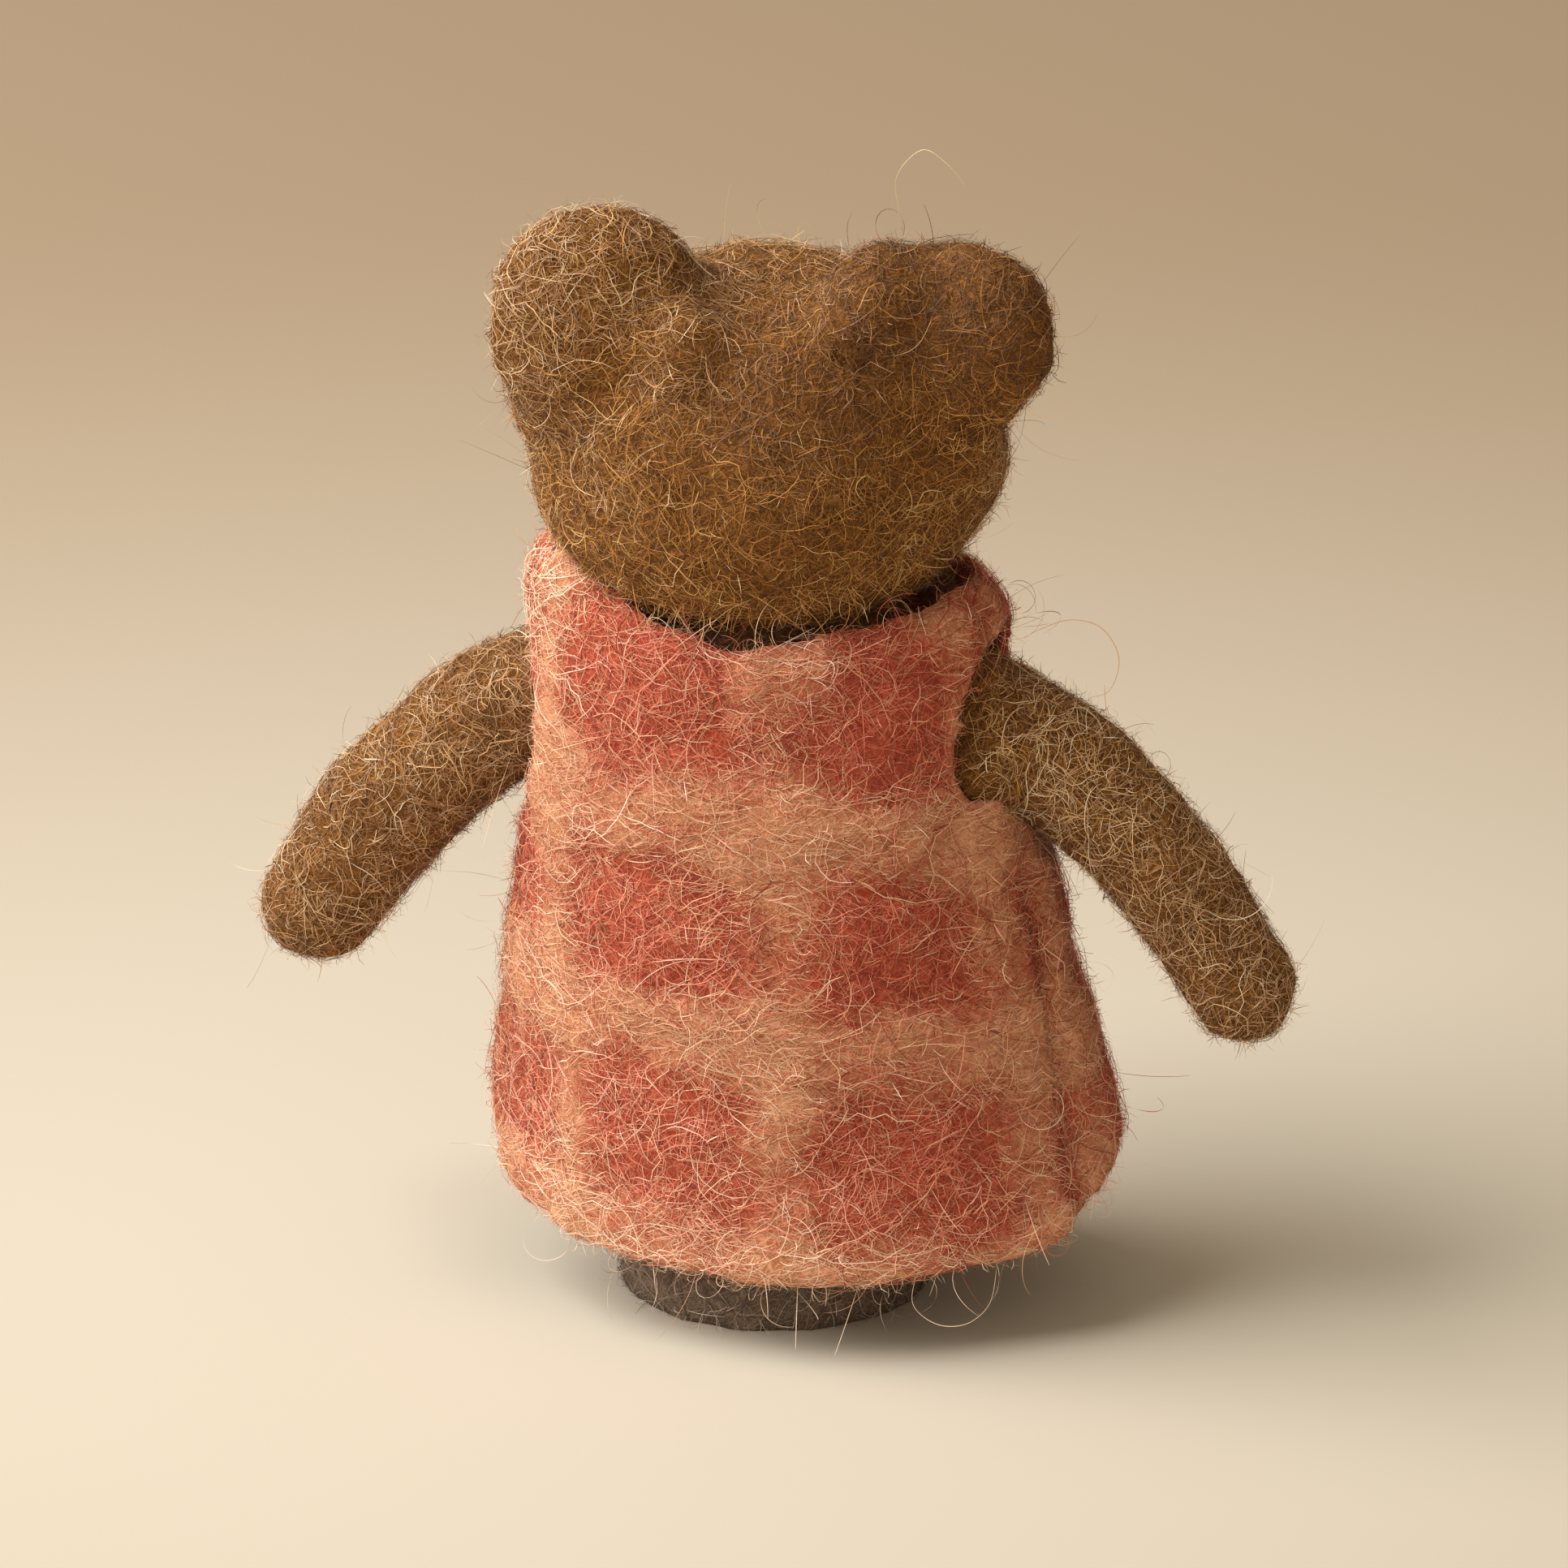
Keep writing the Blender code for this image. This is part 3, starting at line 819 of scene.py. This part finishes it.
def plaid_at(spots, lighter=0.0):
    """Peach tones where peach wool was laid, and coral ones elsewhere, with some of each strewn over."""
    count = len(spots)
    lit_shoulder = near(spots, LIT_SHOULDER, 7)
    hem = np.clip((HEM_BAND - spots[:, 2]) / HEM_BAND, 0, 1)
    low = np.clip((LIT_SKIRT - spots[:, 2]) / LIT_SKIRT, 0, 1)
    peach_here = rng.random(count) < np.clip(0.1 + 0.85 * laid_wool(spots) + lit_shoulder, 0.1, 0.93)
    # Painted light: lighter over the lower skirt and most at the hem; painted shade: darker at the right
    # shoulder and deeper towards the right edge.
    drift = lighter + 0.35 * lumps(spots, 4 * MM, 61) + PAINTED_HEM_LIGHT * hem + PAINTED_SKIRT_LIGHT * low
    drift = drift - PAINTED_SHOULDER_SHADE * near(spots, SHADED_SHOULDER, 6)
    drift = drift - PAINTED_RIGHT_SHADE * np.clip(-spots[:, 0] / RIGHT_EDGE, 0, 1)
    coral_tone = levels(count, 1.6 + drift, 1.0, coral_wool)
    peach_tone = levels(count, 1.7 + drift + 1.6 * lit_shoulder, 1.0, peach_wool) + len(coral_wool)
    return coral_wool + peach_wool, np.where(peach_here, peach_tone, coral_tone)


for side, name in ((1, "dress_back"), (-1, "dress_front")):
    keep = half_of(side, on_the_outside)
    lay = (plaid_at, keep, laid_across)
    coat(dress, f"{name}_nap", NAP_PER_MM2, 2.1 * MM, 3, NAP_WIDE, DRESS_CURL, NAP_LIFT, *lay)
    coat(
        dress, f"{name}_curls", CURLS_PER_MM2, 5.8 * MM, 8, CURL_WIDE, DRESS_CURL, CURL_LIFT, *lay,
        lighter=LIGHTER_CURLS,
    )

# %% [markdown]
# A rim of fine fibres stands off every felted edge and glows where the light comes from behind it.
# These fibres leave the mat at a slant and curl freely in the air, so they are drawn as loose curves
# in space and not walked over the skin. Most are short. A few long ones make the loops that can be
# seen against the background.


# %% Fibres that stand off
FUZZ_FIBRE = 1.7 * MM
FRINGE_WIDE = 0.038 * MM
TUFT_WIDE = 0.04 * MM
SINGLE_WIDE = 0.05 * MM
LONG_STEPS = 14


def loose(ground, count, length, steps, curl, stand, droop=0.0, start=None):
    """Paths that leave the skin at a slant and curl in the air."""
    spot, normal = ground.nearest(ground.scatter(count, rng) if start is None else start)
    side = rng.normal(size=(count, 3))
    side = unit(side - (side * normal).sum(axis=1)[:, None] * normal)
    heading = unit(side + normal * rng.uniform(0.3, stand, count)[:, None])
    axis = unit(np.cross(heading, rng.normal(size=(count, 3))))
    reach = length * np.exp(np.clip(rng.normal(0, 0.4, count), -0.8, 0.3)) / steps
    rate = rng.normal(0, curl, count) * reach
    spot = spot - normal * 0.15 * MM
    spots = [spot]
    for _ in range(steps):
        spot = spot + heading * reach[:, None]
        spots.append(spot)
        heading = turned(heading, axis, rate)
        heading = unit(heading + np.array([0.0, 0.0, -droop]))
        axis = unit(axis - (axis * heading).sum(axis=1)[:, None] * heading)
    paths = np.stack(spots, axis=1)
    return paths, np.repeat(normal[:, None, :], steps + 1, axis=1)


def fringe(piece, name, per_mm2, length, steps, curl, stand, tones_at, keep):
    """A fringe of free fibres on a piece."""
    ground = Ground(piece, keep)
    count = int(per_mm2 * ground.weight.sum() / MM**2)
    paths, normals = loose(ground, count, length, steps, curl, stand)
    wool, tones = tones_at(paths[:, 0], 1.3)
    fibres.append(ribbons(name, paths, normals, FRINGE_WIDE, wool, tones, rng))


for piece, name, tones_at, keep in (
    (head, "head", brown_at, None),
    *ARMS_AND_MUZZLE,
    (dress, "dress", plaid_at, on_the_outside),
):
    fringe(piece, f"{name}_fuzz", 1.5, FUZZ_FIBRE, 3, 1300, 0.9, tones_at, keep)
    fringe(piece, f"{name}_strays", 0.045, 6.0 * MM, LONG_STEPS, 500, 0.8, tones_at, keep)

# %% [markdown]
# Some loose fibres are in certain places of the real puppet, and they are grown there too: wisps
# that hang below the hem where the felt was rubbed least, threads that cross from the collar to the
# nape, loops at the right shoulder and at the hem, and one long curl above the head. The single
# curls face the side that the photograph was taken from, so that side is written down first.

# %% Tufts in their places
AZIMUTH, ELEVATION = math.radians(192), math.radians(20)
level = math.cos(ELEVATION)
to_camera = Vector((math.sin(AZIMUTH) * level, -math.cos(AZIMUTH) * level, math.sin(ELEVATION)))
image_right = Vector((math.cos(AZIMUTH), math.sin(AZIMUTH), 0.0))
image_up = to_camera.cross(image_right)


def tuft(name, piece, places, each, spread, length, curl, stand, droop, tones_at):
    """Loose fibres that start near some places, given in millimetres from the tube's foot."""
    ground = Ground(piece)
    starts = np.repeat(np.array(places, float), each, axis=0)
    starts = starts + rng.normal(0, spread, starts.shape)
    starts = starts * MM + np.array(AXIS)
    paths, normals = loose(ground, len(starts), length, LONG_STEPS, curl, stand, droop, starts)
    wool, tones = tones_at(paths[:, 0], 1.6)
    fibres.append(ribbons(name, paths, normals, TUFT_WIDE, wool, tones, rng))


def smooth_curl(points, steps=6):
    """A Catmull-Rom curve through a few points given in millimetres from the tube's foot."""
    rows = np.array([points[0], *points, points[-1]], float) * MM + np.array(AXIS)
    made = []
    for i in range(len(points) - 1):
        a, b, c, d = rows[i : i + 4]
        for t in np.linspace(0, 1, steps, endpoint=False):
            bent = (2 * a - 5 * b + 4 * c - d) * t**2
            turning = (3 * b - a - 3 * c + d) * t**3
            made.append(0.5 * (2 * b + (c - a) * t + bent + turning))
    made.append(rows[-1])
    return np.array(made)


HEM_WISPS = [(x, 17.5 - 0.02 * x * x, 6.6) for x in range(-14, 13, 2)]
COLLAR_WISPS = [(x, 14.6 - 0.02 * x * x, 58.6 + 0.01 * x * x) for x in range(-12, 10, 3)]
SHOULDER_WISPS = [(-17.5, 3.0, 58.5), (-19.5, 1.0, 55.0), (-16.0, 4.0, 61.0), (-22.0, 1.0, 52.0)]
CORNER_WISPS = [(-27.0, 4.5, 11.0), (-27.4, 3.0, 9.0)]
NAPE_WISPS = [(x, 13.4 - 0.03 * x * x, 61.4 + 0.012 * x * x) for x in range(-12, 16, 3)]
FOOT_WISPS = [(13 * math.cos(a), 13 * math.sin(a), 1.6) for a in np.linspace(0.3, 2.8, 12)]
tuft("dress_hem_wisps", dress, HEM_WISPS, 6, 1.2, 5.0 * MM, 950, 0.4, 0.04, plaid_at)
tuft("dress_collar_wisps", dress, COLLAR_WISPS, 12, 1.0, 4.2 * MM, 600, 0.7, 0.0, plaid_at)
tuft("dress_shoulder_wisps", dress, SHOULDER_WISPS, 7, 1.2, 7.0 * MM, 500, 0.9, 0.0, plaid_at)
tuft("dress_corner_wisps", dress, CORNER_WISPS, 30, 0.9, 2.8 * MM, 700, 0.7, 0.0, plaid_at)
tuft("head_nape_wisps", head, NAPE_WISPS, 15, 1.2, 4.4 * MM, 600, 0.7, 0.08, brown_at)

HEAD_CURL = [
    (-11.6, 8, 89.5), (-11.5, 8, 92.6), (-11.3, 8, 95.7),
    (-13.3, 8, 98.0), (-15.3, 8, 97.0), (-16.8, 8, 95.2),
]
SHOULDER_LOOP = [
    (-20.6, 3, 56.6), (-21.8, 3, 57.4), (-24.3, 3, 58.4), (-26.8, 3, 57.9),
    (-28.2, 3, 55.5), (-27.5, 3, 52.8), (-25.8, 3, 52.0),
]
HEM_LOOP = [
    (-14.7, 15, 7.6), (-14.6, 17, 5.6), (-15.6, 17, 4.2), (-17.3, 17, 3.6),
    (-19.3, 17, 4.1), (-20.7, 16, 5.5), (-20.8, 14, 7.6),
]


def single_curl(name, points, wool):
    """One long fibre that can be made out in the photograph."""
    curve = smooth_curl(points)[None, :, :]
    facing = np.tile(np.array(to_camera), (1, curve.shape[1], 1))
    fibres.append(ribbons(name, curve, facing, SINGLE_WIDE, [wool], np.array([0]), rng, 0.0))


single_curl("head_long_curl", HEAD_CURL, warm_wool[5])
single_curl("right_shoulder_loop", SHOULDER_LOOP, warm_wool[3])
single_curl("dress_hem_loop", HEM_LOOP, peach_wool[4])

# %% [markdown]
# Two small things are left. The tube's foot shows below the hem, and gets grey-brown fibres on the
# outside only, since nobody sees its bore. That grey-brown is painted shadow, the colour of the shade
# under the hem put on the foot. The mouth is a thread of dark wool on the muzzle. A curve with a round
# bevel is the simple way to make a thread: its points are set on the muzzle's skin, and the curve is
# turned into a mesh.

# %% The foot of the tube, and the mouth
FOOT_COAT = 12 * MM


def foot_only(centres, facing):
    """Keeps what shows of the tube below the hem."""
    out = centres - np.array(AXIS)
    out[:, 2] = 0.0
    outside = (unit(out) * facing).sum(axis=1) > 0.2
    return np.where((centres[:, 2] < FOOT_COAT) & outside, 1.0, 0.0)


def shadow_grey_at(spots, lighter=0.0):
    """Grey-brown tones for the tube's foot, painted in the colour of the shadow under the hem."""
    return shadow_grey_wool, levels(len(spots), 0.9 + lighter, 0.8, shadow_grey_wool)


# The foot's fibres are painted in the grey of the shadow under the hem.
coat(tube, "foot_nap", 5.0, NAP_FIBRE, 3, NAP_WIDE, NAP_CURL, NAP_LIFT, shadow_grey_at, foot_only)
tuft("foot_wisps", tube, FOOT_WISPS, 10, 1.0, 3.4 * MM, 800, 0.7, 0.03, shadow_grey_at)
coat(tube, "foot_curls", 0.6, 4.6 * MM, 9, CURL_WIDE, 750, CURL_LIFT, shadow_grey_at, foot_only)

MOUTH_TOP = (0.0, -19.0, 65.2)
MOUTH_FORK = (0.0, -18.6, 62.0)
MOUTH_CORNERS = ((-4.4, -16.6, 60.6), (4.4, -16.6, 60.6))
THREAD = 0.3 * MM


def stitch(name, points):
    """A thread of black-brown wool laid on the muzzle through some points."""
    rows = smooth_curl(points)
    spots, normals = Ground(muzzle).nearest(rows)
    curve = bpy.data.curves.new(name, "CURVE")
    curve.dimensions = "3D"
    line = curve.splines.new("POLY")
    line.points.add(len(spots) - 1)
    for point, spot, normal in zip(line.points, spots, normals):
        point.co = (*(spot + normal * THREAD * 0.6), 1.0)
    curve.bevel_depth = THREAD
    curve.bevel_resolution = 2
    curve.use_fill_caps = True
    holder = own_mesh(name, curve)
    graph = bpy.context.evaluated_depsgraph_get()
    mesh = bpy.data.meshes.new_from_object(holder.evaluated_get(graph))
    bpy.data.objects.remove(holder)
    mesh.materials.clear()
    mesh.materials.append(dark_wool[1])
    mesh.shade_smooth()
    fibres.append(own_mesh(name, mesh))


stitch("nose_mouth_line", [MOUTH_TOP, MOUTH_FORK])
stitch("nose_mouth_right", [MOUTH_FORK, (-2.4, -18.0, 60.6), MOUTH_CORNERS[0]])
stitch("nose_mouth_left", [MOUTH_FORK, (2.4, -18.0, 60.6), MOUTH_CORNERS[1]])

# %% [markdown]
# One table says which solids each skin was wrapped round and which felt it is. The tube has two,
# both painted with shade: grey-brown felt at the foot, in the colour of the shadow under the hem,
# and dark brown felt from the middle up, painted shade for the gap between the neckline and the
# head, which is all that shows of it there.

# %% Materials on the skins
SKINS = (
    (head, ["head", "left_ear", "right_ear"], brown_mat),
    (muzzle, ["muzzle"], muzzle_mat),
    (left_arm, ["left_arm"], brown_mat),
    (right_arm, ["right_arm"], brown_mat),
    (tube, ["body"], foot_shadow_mat),
    (dress, ["dress"], plaid_mat),
    (nose, ["nose"], dark_mat),
    (left_eye, ["left_eye"], dark_mat),
    (right_eye, ["right_eye"], dark_mat),
)
for piece, nodes, mat in SKINS:
    piece.data.materials.clear()
    piece.data.materials.append(mat)

# From this height up the tube gets the painted neck shade.
NECK_SHADE_FROM = 25 * MM
tube.data.materials.append(neck_shade_mat)
for face in tube.data.polygons:
    face.material_index = int(face.center.z > NECK_SHADE_FROM)

# %% [markdown]
# The puppet is one body, because nothing on it turns or slides. Every skin rides on that body and
# stands for the plain solids that it was wrapped round, and every mesh of fibres rides with it.

# %% Ride on the body
for piece, nodes, mat in SKINS:
    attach(piece, "root")
    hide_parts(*nodes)
for piece in fibres:
    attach(piece, "root")

# %% [markdown]
# The puppet stands on a wide sheet of cream paper. Its colour is painted darker away from the
# puppet, a painted pool of window light, and it is paler far off, where low views see it as a
# backdrop. One large soft light stands to the left and above, a weak one on the camera's side opens
# the shadows, and the air of the room is warm. The camera is far away with a long lens, so that the
# puppet shows no strong perspective. One pixel of the photograph is 0.065 mm wide at the puppet, and
# the camera is aimed by the pixel in which the middle of the tube's foot is seen.

# %% Table, light and camera
floor_mesh = bpy.data.meshes.new("table")
floor_shape = bmesh.new()
bmesh.ops.create_circle(floor_shape, cap_ends=True, radius=12.0, segments=96)
floor_shape.to_mesh(floor_mesh)
floor_shape.free()
table = own_mesh("table", floor_mesh)
paper, tree = blank_material("warm cream paper with a painted light pool")
place = add(tree, "ShaderNodeTexCoord").outputs["Object"]
away = add(tree, "ShaderNodeVectorMath", {0: place}, operation="LENGTH")
far = add(
    tree,
    "ShaderNodeMapRange",
    {"Value": away.outputs["Value"], "From Min": 0.02, "From Max": 0.29},
    interpolation_type="SMOOTHSTEP",
)
# The paper is painted darker away from the puppet: a painted pool of window light round it.
painted_light_pool = add(
    tree,
    "ShaderNodeMix",
    {"Factor": far.outputs["Result"], "A": linear("#cac4b6"), "B": linear("#a6947d")},
    data_type="RGBA",
)
beyond = add(
    tree,
    "ShaderNodeMapRange",
    {"Value": away.outputs["Value"], "From Min": 0.36, "From Max": 1.0},
    interpolation_type="SMOOTHSTEP",
)
tone = add(
    tree,
    "ShaderNodeMix",
    {"Factor": beyond.outputs["Result"], "A": painted_light_pool.outputs["Result"], "B": linear("#dfd3c2")},
    data_type="RGBA",
)
feeds = {"Base Color": tone.outputs["Result"], "Roughness": 0.8, "Specular IOR Level": 0.2}
sheet = add(tree, "ShaderNodeBsdfPrincipled", feeds)
add(tree, "ShaderNodeOutputMaterial", {"Surface": sheet.outputs[0]})
floor_mesh.materials.append(paper)

world = bpy.data.worlds.new("studio air")
bpy.context.scene.world = world
world.use_nodes = True
air = world.node_tree.nodes["Background"]
air.inputs["Color"].default_value = linear("#ddc9ad")
air.inputs["Strength"].default_value = 0.53


def softbox(name, kind, towards, distance, size, power, colour):
    """A large soft lamp that faces the puppet's middle: a square box or a paper ball."""
    lamp = bpy.data.lights.new(name, kind)
    if kind == "AREA":
        lamp.shape = "SQUARE"
        lamp.size = size
    else:
        lamp.shadow_soft_size = size / 2
    lamp.energy = power
    lamp.color = linear(colour)[:3]
    holder = bpy.data.objects.new(name, lamp)
    bpy.context.scene.collection.objects.link(holder)
    middle = AXIS + Vector((0.0, 0.0, 45 * MM))
    holder.location = middle + towards.normalized() * distance
    holder.rotation_euler = towards.to_track_quat("Z", "Y").to_euler()


level_view = Vector((to_camera.x, to_camera.y, 0.0)).normalized()
from_the_left = -image_right + level_view * 0.15 + Vector((0.0, 0.0, 1.0))
from_the_camera = level_view + Vector((0.0, 0.0, 0.4))
softbox("window", "AREA", from_the_left, 0.8, 0.75, 12.6, "#fffaf4")
softbox("fill", "POINT", from_the_camera, 0.9, 0.8, 4.0, "#fff6ea")

PIXEL = 0.065 * MM
FRAME_PIXELS = 1932
FOOT_PIXEL = (956, 1570)
camera = bpy.data.cameras.new("camera")
viewer = bpy.data.objects.new("camera", camera)
bpy.context.scene.collection.objects.link(viewer)
bpy.context.scene.camera = viewer
DISTANCE = 1.4
camera.lens = camera.sensor_width * DISTANCE / (FRAME_PIXELS * PIXEL)
middle_right = (FRAME_PIXELS / 2 - FOOT_PIXEL[0]) * PIXEL
middle_up = (FOOT_PIXEL[1] - FRAME_PIXELS / 2) * PIXEL
aim = AXIS + image_right * middle_right + image_up * middle_up
viewer.location = aim + to_camera * DISTANCE
viewer.rotation_euler = to_camera.to_track_quat("Z", "Y").to_euler()
camera.clip_start = 0.01
bpy.context.scene.view_settings.view_transform = "Standard"

# %% [markdown]
# The wool pieces are felted through, so they are pads filled tight. The dress is a sheet of felt.
# Laid flat it would be as wide as its hem is round, and as long as from the shoulder to the lowest
# point of the hem. It narrows to the neck, so its own area is less, and it hangs from the tube.

# %% [markdown]
# Last, the triangles of all the meshes are counted and printed. The wool stands only a few
# millimetres proud of the solids.

# %% Triangle count
meshes = [piece.data for piece, nodes, mat in SKINS] + [piece.data for piece in fibres]
print("triangles in all:", sum(len(mesh.loops) - 2 * len(mesh.polygons) for mesh in meshes))
bpy.context.view_layer.update()
